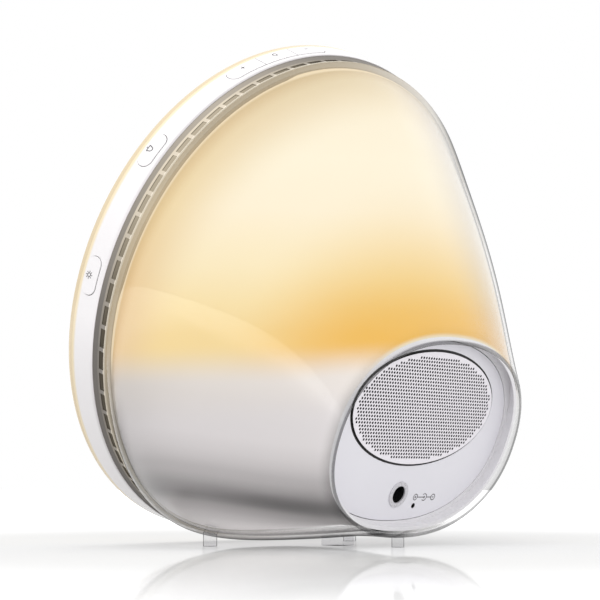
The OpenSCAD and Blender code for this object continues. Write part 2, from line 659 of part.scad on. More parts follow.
module speaker_basket() color([0.3, 0.3, 0.32]) face_frame() difference() {
    union() {
        inside_speaker(0) tube(speaker_r, mouth_r, basket_wall);
        inside_speaker(basket_wall) tube(basket_r, mouth_r, basket_l + eps - basket_wall);
        inside_speaker(basket_l) tube(basket_r, coil_r + basket_wall, magnet_top - basket_l);
    }
    for (a = [45:90:315]) inside_speaker(-eps) rotate([0, 0, a]) translate([speaker_screw_r, 0, 0])
        cylinder(r = 0.9, h = basket_wall + 2 * eps, $fn = 24);
}
module speaker_magnet() color([0.4, 0.4, 0.42]) face_frame() {
    inside_speaker(magnet_top) tube(magnet_r, coil_r + 0.5, magnet_l + eps);
    inside_speaker(magnet_top) cylinder(r = coil_r - 1.1, h = magnet_l + eps);
    inside_speaker(magnet_top + magnet_l) cylinder(r = magnet_r, h = plate_t);
}
module speaker_surround() color([0.1, 0.1, 0.1]) face_frame()
    inside_speaker(0) rotate_extrude() polygon([[mouth_r, 0.1], [mouth_r, 1.2], [cone_r + seat_gap, 1.2],
        [cone_r + seat_gap, 0.1], [(mouth_r + cone_r) / 2, -0.6]]);
module speaker_cone() color([0.16, 0.16, 0.17]) face_frame() inside_speaker(0) rotate_extrude()
    polygon([[cone_r, cone_top], [coil_r - 0.2, cone_base - cone_t], [0, cone_base - 3 * cone_t],
        [0, cone_base - 2 * cone_t], [coil_r - 0.2, cone_base], [cone_r, cone_top + cone_t]]);
module voice_coil() color([0.72, 0.45, 0.2]) face_frame()
    inside_speaker(cone_base) tube(coil_r, coil_r - 0.6, coil_l);

module speaker_screws() color("silver") face_frame() for (a = [45:90:315])
    inside_speaker(basket_wall) rotate([0, 0, a]) translate([speaker_screw_r, 0, 0])
        screw(0.8, basket_wall, 1.5, 0.9);

// ---- lamp chamber ----
shelf_z = shelf_height;
led_y = centre_y + 12;
module shelf_slab(z0, h) translate([-1.1 * ring_r, -1.1 * ring_r, z0]) cube([2.2 * ring_r, 2.2 * ring_r, h]);
module light_shelf() color("white") difference() {
    intersection() {
        shelf_slab(shelf_z - shelf_t, shelf_t);
        face_frame() loft([for (d = depths(flange_t + 8, panel_back - 4, 8))
            row(reflector_section(d, reflector_inset + reflector_wall + seat_gap))]);
    }
    face_frame() at_depth(panel_back) at_speaker() linear_extrude(chamber_l + seat_gap)
        oval(chamber_half[0] + seat_gap, chamber_half[1] + seat_gap);
    for (x = [-36, 36]) translate([x, led_y, shelf_z - shelf_t - eps])
        cylinder(r = 1.3, h = shelf_t + 2 * eps, $fn = 24);
}
module led_board() color("white") difference() {
    translate([0, led_y, 0]) bar(led_board_size, shelf_z, 1.2);
    for (x = [-36, 36]) translate([x, led_y, shelf_z - eps]) cylinder(r = 1.3, h = 2, $fn = 24);
}
module leds() color([1, 0.85, 0.4]) for (i = [0:led_grid[0] - 1], j = [0:led_grid[1] - 1])
    translate([(i - (led_grid[0] - 1) / 2) * 9, led_y + (j - (led_grid[1] - 1) / 2) * 12, 0])
        bar([3.5, 2.8], shelf_z + 1.2, 0.9);
module heat_sink() color([0.7, 0.71, 0.73]) difference() {
    union() {
        translate([0, led_y, 0]) bar(led_board_size, shelf_z - shelf_t - 2, 2);
        for (i = [-8:8]) translate([i * 5, led_y, 0])
            bar([1.2, led_board_size[1]], shelf_z - shelf_t - 10, 8 + eps);
    }
    for (x = [-36, 36]) translate([x, led_y, shelf_z - shelf_t - 5]) cylinder(r = 1 + fit, h = 6, $fn = 24);
}
module shelf_screws() color("silver") for (x = [-36, 36])
    translate([x, led_y, shelf_z + 1.2]) screw(1, 4.6, 1.9, 1.2);

// ---- feet ----
foot_blank = face_height / 3;          // a foot is cut from a longer piece by the shell's underside
module under_shell() difference() {
    children();
    face_frame() loft(concat(outside_rows, lip_rows(90)));
}
module front_feet() color([0.9, 0.92, 0.95, 0.6]) under_shell()
    for (s = [-1, 1]) translate([s * foot_x, centre_y - foot_front, 0])
        cylinder(r = foot_r, h = foot_blank, $fn = 48);
module centre_foot() color([0.9, 0.92, 0.95, 0.6]) under_shell()
    translate([0, centre_y + pad_y, 0]) bar(pad_size, 0, foot_blank);
module rear_foot() color([0.9, 0.92, 0.95, 0.6]) under_shell()
    translate([0, centre_y + foot_rear, 0]) cylinder(r = rear_foot_r, h = foot_blank, $fn = 48);

module key_right(i) color("white") face_frame() key(i);
module key_left(i) color("white") face_frame() mirror([1, 0, 0]) key(i);

front_lens();
control_ring();
vent_ring();
clear_shell();
reflector();
rear_panel();
grille_gasket();
speaker_grille();
jack_bezel();
dc_jack();
dc_jack_pin();
diffuser_disc();
display_board();
display_mask();
display_digits();
light_shelf();
led_board();
leds();
heat_sink();
speaker_chamber();
speaker_basket();
speaker_magnet();
speaker_surround();
speaker_cone();
voice_coil();
main_board();
board_parts();
key_board_right();
key_board_left();
key_switches_right();
key_switches_left();
ring_screws();
board_screws();
shelf_screws();
speaker_screws();
front_feet();
centre_foot();
rear_foot();
key_right(0);  // key_right_1
key_right(1);  // key_right_2
key_right(2);  // key_right_3
key_right(3);  // key_right_4
key_right(4);  // key_right_5
key_left(0);  // key_left_1
key_left(1);  // key_left_2
key_left(2);  // key_left_3
key_left(3);  // key_left_4
key_left(4);  // key_left_5
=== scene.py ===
"""Looks, floor, lights and camera of the sunrise alarm clock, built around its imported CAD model."""
import json
import math

import bmesh
import bpy
import numpy as np
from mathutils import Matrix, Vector
from mathutils.geometry import delaunay_2d_cdt


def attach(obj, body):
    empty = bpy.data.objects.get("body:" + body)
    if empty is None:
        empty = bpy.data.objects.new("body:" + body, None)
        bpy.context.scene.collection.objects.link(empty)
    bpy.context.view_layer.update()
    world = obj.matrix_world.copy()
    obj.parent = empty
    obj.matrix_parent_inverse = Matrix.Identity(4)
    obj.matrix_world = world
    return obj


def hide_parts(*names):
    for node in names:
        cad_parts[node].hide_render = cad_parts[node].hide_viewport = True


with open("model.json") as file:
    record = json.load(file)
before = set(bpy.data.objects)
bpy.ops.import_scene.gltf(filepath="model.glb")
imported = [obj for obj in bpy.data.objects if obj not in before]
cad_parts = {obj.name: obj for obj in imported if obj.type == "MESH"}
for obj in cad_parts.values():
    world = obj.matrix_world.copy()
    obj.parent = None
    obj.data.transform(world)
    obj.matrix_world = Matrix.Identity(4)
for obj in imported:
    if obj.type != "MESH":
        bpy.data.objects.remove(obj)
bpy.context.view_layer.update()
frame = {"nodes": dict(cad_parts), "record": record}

MM = 0.001

# ---- driving sizes in millimetres, as in the CAD source ----
LEAN = math.radians(22)
RING_R = 95
RING_TAPER = 1.5
RING_DEPTH = 9.5
KEY_MID = 5.5
KEY_ANGLES = (14.7, 23.9, 33.1, 61.6, 90.5)
KEY_PROUD = 0.15
SHELL_STEP = 1.5
SHELL_FRONT = 5.5
LOFT_FRONT = SHELL_FRONT + 0.4
SHELL_REAR = 81
SHELL_WALL = 1.8
POD_HALF_W, POD_HALF_H, POD_DROP = 49.5, 36.2, 25.2
REFLECTOR_INSET = SHELL_WALL + 0.3
REFLECTOR_WALL = 2
REFLECTOR_FRONT = SHELL_FRONT + 0.3
REFLECTOR_LIFT = 4
RIM_STEP, RIM_STEP_SPAN = 0.6, (26, 92)
SKIRT_REAR, SKIRT_WALL = 78.6, 1.4
PANEL_GAP = 0.25
PANEL_DEPTH, PANEL_T = 73.6, 2.2
PANEL_HALF_W, PANEL_HALF_H, PANEL_DROP = 48, 33.4, 24.4
LEDGE = 2
SPEAKER_DROP = 15.8
GRILLE_HALF_W, GRILLE_HALF_H = 37.7, 20.7
GRILLE_T = 0.8
GRILLE_PROUD = 0.5
JACK_DROP = 48

# the inlet's mount gives the ring's centre
INLET_DEPTH = 72.7          # behind the ring's plane
mounts = {mount["name"]: mount["pos_m"] for mount in frame["record"]["mounts"]}
inlet = Vector(mounts["power_inlet"]) / MM
centre_y = inlet.y + JACK_DROP * math.sin(LEAN) - INLET_DEPTH * math.cos(LEAN)
centre_z = inlet.z + JACK_DROP * math.cos(LEAN) + INLET_DEPTH * math.sin(LEAN)


def face_point(x, up, depth):
    """A point of the leaning face's frame, in metres of the row frame. Depth counts backward."""
    y = centre_y + up * math.sin(LEAN) + depth * math.cos(LEAN)
    z = centre_z + up * math.cos(LEAN) - depth * math.sin(LEAN)
    return Vector((x * MM, y * MM, z * MM))


# ---- mesh helpers ----
def new_object(name, points, faces, material, smooth_angle=None):
    """A mesh object. With an angle it is smooth wherever its faces meet at less than that."""
    mesh = bpy.data.meshes.new(name)
    mesh.from_pydata([tuple(p) for p in points], [], [tuple(f) for f in faces])
    mesh.validate()
    bm = bmesh.new()
    bm.from_mesh(mesh)
    bmesh.ops.recalc_face_normals(bm, faces=bm.faces)
    bm.to_mesh(mesh)
    bm.free()
    if smooth_angle:
        mesh.shade_smooth()
        mesh.set_sharp_from_angle(angle=math.radians(smooth_angle))
    thing = bpy.data.objects.new(name, mesh)
    bpy.context.scene.collection.objects.link(thing)
    mesh.materials.append(material)
    return thing


# ---- the loft from the ring to the pod, with the CAD source's own curves ----
loft_r = RING_R - RING_TAPER - SHELL_STEP
HALF_W_CURVE = (loft_r, loft_r - 3.8, POD_HALF_W + 10.7, POD_HALF_W)
HALF_H_CURVE = (loft_r, loft_r - 7.5, POD_HALF_H + 18.6, POD_HALF_H)
DROP_CURVE = (0, 2.6, 14, POD_DROP)
SQUARENESS_ABOVE = (2, 1.32, 2.23, 2.23)
SQUARENESS_BELOW = (2, 3.4, 3, 2.23)
LOFT_POINTS = 288
LOFT_ANGLES = 2 * math.pi * (np.arange(LOFT_POINTS) + 0.5) / LOFT_POINTS       # from the top
LOFT_SMOOTH_ANGLE = 40


def bezier(p, s):
    t = 1 - s
    return p[0] * t ** 3 + 3 * p[1] * s * t ** 2 + 3 * p[2] * s * s * t + p[3] * s ** 3


def outline(half_w, half_h, drop, above, below, lift=0):
    """A superellipse as points (x, up). Its halves differ in squareness, and in height by a lift."""
    across, up = np.sin(LOFT_ANGLES), np.cos(LOFT_ANGLES)
    upper = up > 0
    k = 2 / np.where(upper, above, below)
    x = half_w * np.sign(across) * np.abs(across) ** k
    y = np.where(upper, half_h, half_h - lift) * np.sign(up) * np.abs(up) ** k - drop
    return np.stack([x, y], 1)


def section(depth, inset, underside_lift=0):
    """The loft's outline at a depth, shrunk by an inset. The lift draws in its underside midway."""
    s = (depth - LOFT_FRONT) / (SHELL_REAR - LOFT_FRONT)
    return outline(bezier(HALF_W_CURVE, s) - inset, bezier(HALF_H_CURVE, s) - inset,
                   bezier(DROP_CURVE, s), bezier(SQUARENESS_ABOVE, s), bezier(SQUARENESS_BELOW, s),
                   bezier((0, underside_lift, underside_lift, 0), s))


def panel_section(inset):
    return outline(PANEL_HALF_W - inset, PANEL_HALF_H - inset, PANEL_DROP, SQUARENESS_ABOVE[3],
                   SQUARENESS_BELOW[3])


def rows_to_object(name, rows, material):
    """A loft that closes on itself, from rows of an outline and its depth or its points' depths."""
    points = [face_point(x, y, d) for line, depths in rows
              for (x, y), d in zip(line, np.broadcast_to(depths, LOFT_POINTS))]
    faces = []
    for r in range(len(rows)):
        start, following = r * LOFT_POINTS, (r + 1) % len(rows) * LOFT_POINTS
        for i in range(LOFT_POINTS):
            j = (i + 1) % LOFT_POINTS
            faces.append((start + i, start + j, following + j, following + i))
    return new_object(name, points, faces, material, LOFT_SMOOTH_ANGLE)


# ---- materials ----
WHITE, BLACK = (1.0, 1.0, 1.0), (0.0, 0.0, 0.0)


class Tree:
    """A node tree with a short call for each kind of node.

    Where a call takes a value it may be a socket, a number or a colour.
    """

    def __init__(self, node_tree):
        self.nodes, self.links = node_tree.nodes, node_tree.links

    def new(self, kind, **settings):
        node = self.nodes.new("ShaderNode" + kind)
        for name, value in settings.items():
            setattr(node, name, value)
        return node

    def put(self, value, socket):
        """Links a socket to an input, or writes a number or a colour to it."""
        if isinstance(value, bpy.types.NodeSocket):
            self.links.new(value, socket)
        else:
            socket.default_value = (*value, 1) if socket.type == "RGBA" else value

    def calc(self, operation, *values):
        node = self.new("Math", operation=operation)
        for value, socket in zip(values, node.inputs):
            self.put(value, socket)
        return node.outputs[0]

    def line(self, value, start, end, low=0.0, high=1.0, kind="LINEAR"):
        """Goes from low to high as the value goes from start to end."""
        node = self.new("MapRange", interpolation_type=kind)
        sizes = {"From Min": start, "From Max": end, "To Min": low, "To Max": high}
        for name, size in sizes.items():
            node.inputs[name].default_value = size
        self.put(value, node.inputs["Value"])
        return node.outputs["Result"]

    def smooth(self, value, start, end, low=0.0, high=1.0):
        """As line, but easing in and out."""
        return self.line(value, start, end, low, high, "SMOOTHSTEP")

    def mix(self, factor, first, second, blend="MIX"):
        node = self.new("Mix", data_type="RGBA", blend_type=blend)
        for name, value in {"Factor": factor, "A": first, "B": second}.items():
            self.put(value, node.inputs[name])
        return node.outputs["Result"]

    def times(self, first, second):
        return self.mix(1.0, first, second, "MULTIPLY")

    def ramp(self, value, stops):
        """A colour by a measured value, from (value, colour) stops."""
        low, high = stops[0][0], stops[-1][0]
        node = self.new("ValToRGB")
        elements = node.color_ramp.elements
        while len(elements) < len(stops):
            elements.new(0.5)
        for element, (at, color) in zip(elements, stops):
            element.position = (at - low) / (high - low)
            element.color = (*color, 1)
        self.put(self.line(value, low, high), node.inputs["Fac"])
        return node.outputs["Color"]

    def greys(self, value, stops):
        """A grey by a measured value, from (value, brightness) stops."""
        return self.ramp(value, [(at, (level, level, level)) for at, level in stops])

    def noise(self, scale, detail=3.0):
        """Noise in object space. Objects sit at the origin, so its scale is per metre."""
        node = self.new("TexNoise")
        node.inputs["Scale"].default_value = scale
        node.inputs["Detail"].default_value = detail
        self.put(self.new("TexCoord").outputs["Object"], node.inputs["Vector"])
        return node.outputs["Fac"]

    def bump(self, height, strength, distance):
        node = self.new("Bump")
        node.inputs["Strength"].default_value = strength
        node.inputs["Distance"].default_value = distance
        self.put(height, node.inputs["Height"])
        return node.outputs["Normal"]

    def places(self):
        """In millimetres: height above the table, and radius, depth and x in the face's frame."""
        shift = self.new("VectorMath", operation="SUBTRACT")
        shift.inputs[1].default_value = face_point(0, 0, 0)
        self.put(self.new("TexCoord").outputs["Object"], shift.inputs[0])

        def along(*direction):
            dot = self.new("VectorMath", operation="DOT_PRODUCT")
            dot.inputs[1].default_value = Vector(direction) / MM
            self.put(shift.outputs[0], dot.inputs[0])
            return dot.outputs["Value"]

        x = along(1, 0, 0)
        up = along(0, math.sin(LEAN), math.cos(LEAN))
        depth = along(0, math.cos(LEAN), -math.sin(LEAN))
        height = self.calc("ADD", along(0, 0, 1), centre_z)
        squares = self.calc("ADD", self.calc("MULTIPLY", x, x), self.calc("MULTIPLY", up, up))
        return height, self.calc("SQRT", squares), depth, x


def new_material(name):
    material = bpy.data.materials.new(name)
    material.use_nodes = True
    return material


def opened(material):
    """A material's tree, and the sockets of its Principled BSDF."""
    return Tree(material.node_tree), material.node_tree.nodes["Principled BSDF"].inputs


MOTTLE_SCALE, MOTTLE_DARKER = 60.0, 0.03
GRAIN_HEIGHT = 0.00002      # metres


def moulded(name, color, rough, spread=0.04, bump=0.1, grain=900.0, metallic=0.0):
    """Moulded plastic, paint or metal: a slight mottle, uneven gloss and a fine surface grain."""
    material = new_material(name)
    tree, sockets = opened(material)
    darker = tuple(c * (1 - MOTTLE_DARKER) for c in color)
    tree.put(tree.mix(tree.noise(MOTTLE_SCALE), color, darker), sockets["Base Color"])
    fine = tree.noise(grain)
    tree.put(tree.line(fine, 0, 1, rough - spread, rough + spread), sockets["Roughness"])
    tree.put(tree.bump(fine, bump, GRAIN_HEIGHT), sockets["Normal"])
    sockets["Metallic"].default_value = metallic
    return material


UNEVEN_SCALE, UNEVEN = 25.0, (0.9, 1.1)


def lit(name, color, glow, strength, rough=0.4):
    """A plain lit plastic with slightly uneven light."""
    material = moulded(name, color, rough)
    tree, sockets = opened(material)
    sockets["Emission Color"].default_value = (*glow, 1)
    low, high = [strength * share for share in UNEVEN]
    uneven = tree.line(tree.noise(UNEVEN_SCALE), 0, 1, low, high)
    tree.put(uneven, sockets["Emission Strength"])
    return material


CLEAR_GLOSS = 0.03          # what each face of a clear wall mirrors where it is seen straight on
OUTLINE_END = 0.98          # how far a face turns away until it is darkest, where 1 is edge-on
WAVE_SCALE, WAVE_BUMP, WAVE_HEIGHT = 18.0, 0.05, 0.001


def clear_wall(name, tint_and_shade, start, dark, rough=0.01):
    """Thin clear plastic with faint flow waves. It mirrors more along its outline, and painted shade
    darkens it there.

    The tint_and_shade is a colour, or a function that builds one in the tree, such as the housing's
    painted shade.
    """
    material = new_material(name)
    tree = Tree(material.node_tree)
    tree.nodes.remove(tree.nodes["Principled BSDF"])
    weight = tree.new("LayerWeight")
    weight.inputs["Blend"].default_value = 0.5
    facing = weight.outputs["Facing"]
    shade = tree.mix(tree.smooth(facing, start, OUTLINE_END), WHITE, (dark, dark, dark))
    straight = tree.new("BsdfTransparent")
    tree.put(tree.times(tint_and_shade(tree) if callable(tint_and_shade) else tint_and_shade, shade), straight.inputs["Color"])
    gloss = tree.new("BsdfGlossy")
    gloss.inputs["Roughness"].default_value = rough
    tree.put(shade, gloss.inputs["Color"])
    tree.put(tree.bump(tree.noise(WAVE_SCALE, 1.0), WAVE_BUMP, WAVE_HEIGHT), gloss.inputs["Normal"])
    grazing = tree.calc("POWER", facing, 5.0)
    blend = tree.new("MixShader")
    tree.put(tree.calc("MULTIPLY_ADD", grazing, 1 - CLEAR_GLOSS, CLEAR_GLOSS), blend.inputs["Fac"])
    tree.put(straight.outputs[0], blend.inputs[1])
    tree.put(gloss.outputs[0], blend.inputs[2])
    tree.put(blend.outputs[0], tree.nodes["Material Output"].inputs["Surface"])
    return material


# the clear housing's painted shade by depth, beside the vent ring: darker and warmer over the shaded
# channel there
HOUSING_PAINTED_SHADE = ((5.5, (0.885, 0.85, 0.795)), (8.5, (0.945, 0.92, 0.89)), (11.5, WHITE))
# painted shade at the front of the underside, seen through the clear wall
LOW_PAINTED_SHADE = (0.60, 0.59, 0.59)           # at the front of its underside
LOW_HEIGHT, LOW_DEPTH = (32, 54), (9, 17)       # over which that ends
REAR_SHADE, REAR_SHADE_ABOVE = 0.2, 0.2         # toward its rear, and the share left higher up
REAR_HEIGHT = (48, 70)
REAR_DEPTH = (SHELL_REAR - 5, SHELL_REAR - 0.6)
LIP_SHADE, LIP_DEPTH = 0.6, (SHELL_REAR - 0.55, SHELL_REAR - 0.15)


def housing_painted_shade(tree):
    """Painted shade: darker beside the vent ring, at the front of the underside and toward the rear
    lip.
    """
    height, _, depth, _ = tree.places()
    low = tree.calc("MULTIPLY", tree.smooth(height, *LOW_HEIGHT, 1, 0),
                    tree.smooth(depth, *LOW_DEPTH, 1, 0))
    tint_and_shade = tree.mix(low, tree.ramp(depth, HOUSING_PAINTED_SHADE), LOW_PAINTED_SHADE)
    rear = tree.calc("MULTIPLY", tree.smooth(depth, *REAR_DEPTH, 0, REAR_SHADE),
                     tree.smooth(height, *REAR_HEIGHT, 1, REAR_SHADE_ABOVE))
    lip = tree.smooth(depth, *LIP_DEPTH, 0, LIP_SHADE)
    return tree.mix(tree.calc("MAXIMUM", rear, lip), tint_and_shade, BLACK)


# colours of the lit reflector by height, near the ring, midway and near the pod
GLOW_NEAR_RING = ((70, (0.78, 0.58, 0.34)), (88, (0.81, 0.61, 0.36)), (112, (0.83, 0.67, 0.41)),
                  (145, (0.79, 0.65, 0.43)), (165, (0.74, 0.62, 0.42)))
GLOW_MIDWAY = ((70, (0.87, 0.67, 0.34)), (80, (0.90, 0.73, 0.42)), (92, (0.92, 0.79, 0.53)),
               (112, (0.94, 0.84, 0.65)), (132, (0.94, 0.86, 0.68)), (155, (0.92, 0.83, 0.65)))
GLOW_NEAR_POD = ((70, (0.84, 0.51, 0.15)), (79, (0.84, 0.54, 0.18)), (90, (0.86, 0.61, 0.25)),
                 (102, (0.88, 0.66, 0.33)), (128, (0.92, 0.77, 0.50)))
MIDWAY_DEPTH, POD_DEPTH = (8, 28), (40, 74)     # over which one turns into the next
GLOW_WANDER, WANDER_SCALE = 6, 14.0         # how far up and down its colours wander
GLOW_AWAY = (0.44, 0.38, 0.32)      # on the left of its top, away from the lamp's beam
AWAY_X, AWAY_SHARE = (-3, -40), 0.5     # over which that comes in, and how much
AWAY_END_X = (-46, -85)     # over which it ends again, farther round
RIM_LIGHT = (1.0, 0.88, 0.64)       # light caught by its front edge
RIM_LIGHT_DEPTH = (REFLECTOR_FRONT + RIM_STEP, REFLECTOR_FRONT + RIM_STEP + 1)
REAR_PALE = (0.82, 0.72, 0.52)      # the last millimetre before the pod's rim
REAR_PALE_DEPTH = (77.4, 78.7)
GLOW_EDGE = (54, 68)        # heights between which the lit part starts
EDGE_RISE, EDGE_RISE_DEPTH = 2, (60, 80)        # how much higher it starts near the pod
# painted shade: the brightness of the unlit part by height, with a dark band of painted shade where
# it turns under
UNLIT = ((6, 0.76), (9, 0.62), (11, 0.60), (13, 0.61), (15, 0.51), (17, 0.38), (18.5, 0.26),
         (20, 0.215), (21.5, 0.245), (23.5, 0.295), (25.5, 0.36), (27.5, 0.415), (30, 0.43),
         (33, 0.51), (36, 0.56), (41, 0.60), (47, 0.585), (53, 0.58), (60, 0.60))
UNLIT_COOL, UNLIT_WARM = (1.055, 1.0, 1.005), (1.085, 1.0, 0.93)
WARM_HEIGHT = (40, 58)      # over which the one turns into the other
# painted shade on the unlit part near the ring, and the depths over which it ends
UNLIT_NEAR_RING, NEAR_RING_DEPTH = (0.87, 0.87, 0.87), (6, 40)
# the dark band of painted shade where the unlit part turns under:
SHADE_BELT_DARKER = 0.42          # how much darker the belt is at the pod than at the ring
SHADE_BELT_BOTTOM, SHADE_BELT_TOP, SHADE_BELT_DEPTH = (16, 19.5), (25, 20.5), (36, 62)
SHADE_BELT_DROP, SHADE_BELT_DROP_DEPTH = 7.5, (20, 80)      # how much lower it runs at the pod
TABLE_LIGHT, TABLE_LIGHT_HEIGHT = 0.22, (15, 7)         # light from the table on the lowest part
TABLE_LIGHT_COLOR = (1.0, 0.97, 0.96)
LAMP_LIGHT_HEIGHT = (30, 45)        # over which the light takes the lamp's colours
VEIL = 0.117                # white that the clear housing and the plastic's own gloss add
LIT_BASE, LIT_GLOW = 0.26, 0.70
REFLECTOR_ROUGH = 0.35


def unveiled(color):
    return tuple((c - VEIL) / (1 - VEIL) for c in color)


def lit_color(tree, height, depth, x):
    """The lit reflector's colour, which goes over from one set of glow colours to the next."""
    wander = tree.line(tree.noise(WANDER_SCALE, 1.0), 0, 1, -GLOW_WANDER, GLOW_WANDER)
    level = tree.calc("ADD", height, wander)

    def glow(stops):
        return tree.ramp(level, [(at, unveiled(color)) for at, color in stops])

    color = tree.mix(tree.smooth(depth, *MIDWAY_DEPTH), glow(GLOW_NEAR_RING), glow(GLOW_MIDWAY))
    color = tree.mix(tree.smooth(depth, *POD_DEPTH), color, glow(GLOW_NEAR_POD))
    away = tree.calc("MULTIPLY", tree.smooth(x, AWAY_X[1], AWAY_X[0], AWAY_SHARE, 0),
                     tree.smooth(x, AWAY_END_X[1], AWAY_END_X[0]))
    color = tree.mix(away, color, unveiled(GLOW_AWAY))
    color = tree.mix(tree.smooth(depth, *REAR_PALE_DEPTH), color, REAR_PALE)
    return tree.mix(tree.smooth(depth, *RIM_LIGHT_DEPTH, 1, 0), color, RIM_LIGHT)


def unlit_color(tree, height, level, depth):
    """The unlit reflector's painted shade, as a grey. Level is the height, raised toward the pod by
    the shaded band's drop.
    """
    shade = tree.mix(tree.smooth(depth, *NEAR_RING_DEPTH), UNLIT_NEAR_RING, WHITE)
    hue = tree.mix(tree.smooth(height, *WARM_HEIGHT), UNLIT_COOL, UNLIT_WARM)
    grey = tree.times(tree.times(tree.greys(level, UNLIT), shade), hue)
    shade_belt = tree.calc("MULTIPLY", tree.smooth(level, *SHADE_BELT_BOTTOM), tree.smooth(level, *SHADE_BELT_TOP))
    shade_belt = tree.calc("MULTIPLY", shade_belt, tree.smooth(depth, *SHADE_BELT_DEPTH))
    return tree.mix(shade_belt, grey, tree.mix(SHADE_BELT_DARKER, grey, BLACK))


def glowing_reflector():
    """Translucent white plastic with painted light: amber above the light shelf, with painted shade
    below it and light from the table at the bottom.
    """
    material = new_material("reflector_glow")
    tree, sockets = opened(material)
    height, _, depth, x = tree.places()
    color = lit_color(tree, height, depth, x)
    rise = tree.smooth(depth, *EDGE_RISE_DEPTH, 0, -EDGE_RISE)
    edge = tree.smooth(tree.calc("ADD", height, rise), *GLOW_EDGE)
    level = tree.calc("ADD", height, tree.smooth(depth, *SHADE_BELT_DROP_DEPTH, 0, SHADE_BELT_DROP))
    below = tree.smooth(level, *TABLE_LIGHT_HEIGHT, 0, TABLE_LIGHT)
    lit_base = tree.mix(LIT_BASE, BLACK, color)
    unlit = unlit_color(tree, height, level, depth)
    lamp = tree.smooth(height, *LAMP_LIGHT_HEIGHT)
    strength = tree.calc("ADD", tree.calc("MULTIPLY", edge, LIT_GLOW), below)
    tree.put(tree.mix(edge, unlit, lit_base), sockets["Base Color"])
    tree.put(tree.mix(lamp, TABLE_LIGHT_COLOR, color), sockets["Emission Color"])
    tree.put(strength, sockets["Emission Strength"])
    sockets["Roughness"].default_value = REFLECTOR_ROUGH
    return material


# the lens's light by radius
LENS_GLOW = ((20, (1.0, 0.86, 0.54)), (70, (0.98, 0.78, 0.44)), (92, (0.80, 0.60, 0.34)))
LENS_STRENGTH, LENS_EDGE = (0.36, 0.12), (60, RING_R)      # in the middle and at its rim


def glowing_lens():
    """Milky plastic lit from behind: brightest in the middle, with a plain rounded edge."""
    material = moulded("lens_milk", (0.60, 0.50, 0.34), 0.22, 0.03, 0.05)
    tree, sockets = opened(material)
    _, radius, _, _ = tree.places()
    tree.put(tree.ramp(radius, LENS_GLOW), sockets["Emission Color"])
    tree.put(tree.smooth(radius, *LENS_EDGE, *LENS_STRENGTH), sockets["Emission Strength"])
    return material


# painted shade: near black below the outer faces, in the gaps round the keys and in the panel's seam
# and holes
GAP_SHADE, SEAM_SHADE = (0.03, 0.03, 0.03), (0.012, 0.012, 0.012)
BAND_SKIN, PANEL_SKIN = (0.35, 0.15), (0.2, 0.05)       # below the face, from all black to none
BAND_WARM = (0.80, 0.68, 0.47)      # the band's front edge, in the lens's light
FRONT_EDGE, REAR_EDGE = (1.6 - RING_DEPTH, 0.4 - RING_DEPTH), (-1.6, -0.1)
# the shade along the band's rear edge, by height
BAND_REAR = ((25, 0.70), (48, 0.80), (68, 1.0), (90, 0.97), (112, 0.86), (133, 0.72), (151, 0.62),
             (174, 0.62))
REAR_HUE = (1.0, 0.98, 0.985)


def band_plastic(name, color, rough):
    """Glossy white plastic, dark with painted shade behind the band's outer face, in the gaps around
    the keys.
    """
    material = moulded(name, color, rough, 0.03, 0.05)
    tree, sockets = opened(material)
    height, radius, depth, _ = tree.places()
    flare = tree.calc("MULTIPLY", depth, RING_TAPER / RING_DEPTH)
    rear_r = RING_R - RING_TAPER
    outside = tree.smooth(tree.calc("ADD", radius, flare), *[rear_r - skin for skin in BAND_SKIN])
    white = sockets["Base Color"].links[0].from_socket
    white = tree.mix(tree.smooth(depth, *FRONT_EDGE), white, BAND_WARM)
    shade = tree.ramp(height, [(at, tuple(level * c for c in REAR_HUE)) for at, level in BAND_REAR])
    white = tree.times(white, tree.mix(tree.smooth(depth, *REAR_EDGE), WHITE, shade))
    tree.put(tree.mix(outside, GAP_SHADE, white), sockets["Base Color"])
    return material


def pierced(name, color, rough, face_depth, metallic=0.0):
    """A satin panel or plate that is dark with painted shade in the seam and the holes behind its
    outer face.
    """
    material = moulded(name, color, rough, 0.05, 0.2, metallic=metallic)
    tree, sockets = opened(material)
    _, _, depth, _ = tree.places()
    outside = tree.smooth(depth, *[face_depth - skin for skin in PANEL_SKIN])
    plain = sockets["Base Color"].links[0].from_socket
    tree.put(tree.mix(outside, SEAM_SHADE, plain), sockets["Base Color"])
    return material


# the slots' dark outlines are painted shade on their sides
VENT_FACE_R, VENT_INNER_R = 92.15, 91.85        # the slots' dark outlines lie between these radii
VENT_EASE = 0.1
# depths over which the bars between the slots, the light edge of painted highlight and the web behind
# it start
BAR_DEPTH = (1.3, 1.5)
EDGE_DEPTH = (SHELL_FRONT - 1.1, SHELL_FRONT - 1.0)
WEB_DEPTH = (SHELL_FRONT - 0.8, SHELL_FRONT - 0.6)
SIDE_DARKER = 0.7
# painted shade on the slots' sides and on their floors
VENT_SIDE_SHADE, VENT_INSIDE_SHADE = (0.03, 0.027, 0.022), (0.06, 0.055, 0.045)
# a painted highlight on the light edge, and the web behind it painted warm brown for the channel's
# shade with the lamp's warm light in it
VENT_EDGE_HIGHLIGHT, VENT_WEB_WARM_SHADE = (0.80, 0.72, 0.60), (0.46, 0.41, 0.32)
VENT_LIGHT = (1.0, 0.87, 0.66)
# the light's strength by height: in the groove, on the bars between slots, in the slots, on the web
GROOVE_GLOW = ((80, 0.0), (112, 0.12), (133, 0.22), (151, 0.29), (164, 0.18), (174, 0.04))
BAR_GLOW = ((36, 0.10), (48, 0.05), (68, 0.04), (90, 0.20), (112, 0.50), (133, 0.60), (151, 0.60),
            (164, 0.36), (174, 0.05))
SLOT_GLOW = ((36, 0.07), (68, 0.05), (90, 0.15), (112, 0.38), (133, 0.46), (151, 0.46), (164, 0.28),
             (174, 0.02))
CHANNEL_GLOW = ((80, 0.0), (112, 0.13), (140, 0.03), (160, 0.0))


